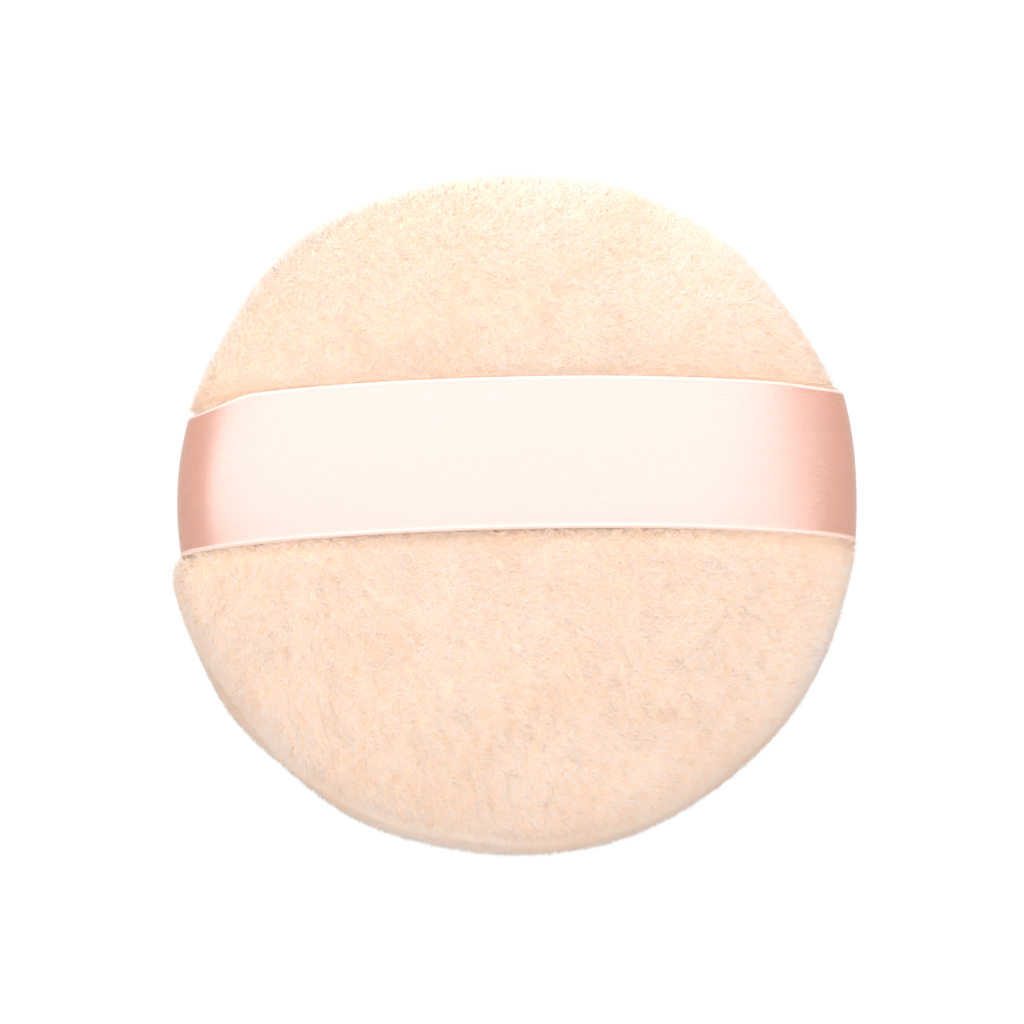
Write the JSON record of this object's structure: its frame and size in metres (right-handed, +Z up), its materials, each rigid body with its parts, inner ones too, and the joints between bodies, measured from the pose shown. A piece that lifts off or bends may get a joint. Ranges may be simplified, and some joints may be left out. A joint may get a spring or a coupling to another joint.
{
  "type": "powder puff",
  "caption": "Round velour powder puff, two plush panels sewn round a sponge, with a satin ribbon across the back as a finger strap that lifts off the pad.",
  "frame": {"origin": "centre of the footprint, on the face that rests on the table", "axes": "+Z up through the thickness, towards the ribbon; +X along the ribbon; +Y square to the ribbon, towards the side that it lies off centre to"},
  "size_m": [0.0684, 0.07, 0.0178],
  "materials": {
    "velour": "soft plush pile",
    "sponge": "open-cell foam",
    "satin": "glossy satin weave",
    "thread": "spun polyester"
  },
  "bodies": {
    "pad": {"back_panel": "velour", "face_panel": "velour", "sponge_core": "sponge", "needle_thread": "thread", "bobbin_thread": "thread", "closing_thread": "thread", "left_ribbon_tack": "thread", "right_ribbon_tack": "thread"},
    "strap": {"ribbon": "satin"}
  },
  "joints": [
    {"name": "ribbon_lift", "type": "slide", "parent": "pad", "child": "strap", "axis": [0, 0, 1], "range_m": [0, 0.008], "deforming": ["ribbon"]}
  ]
}
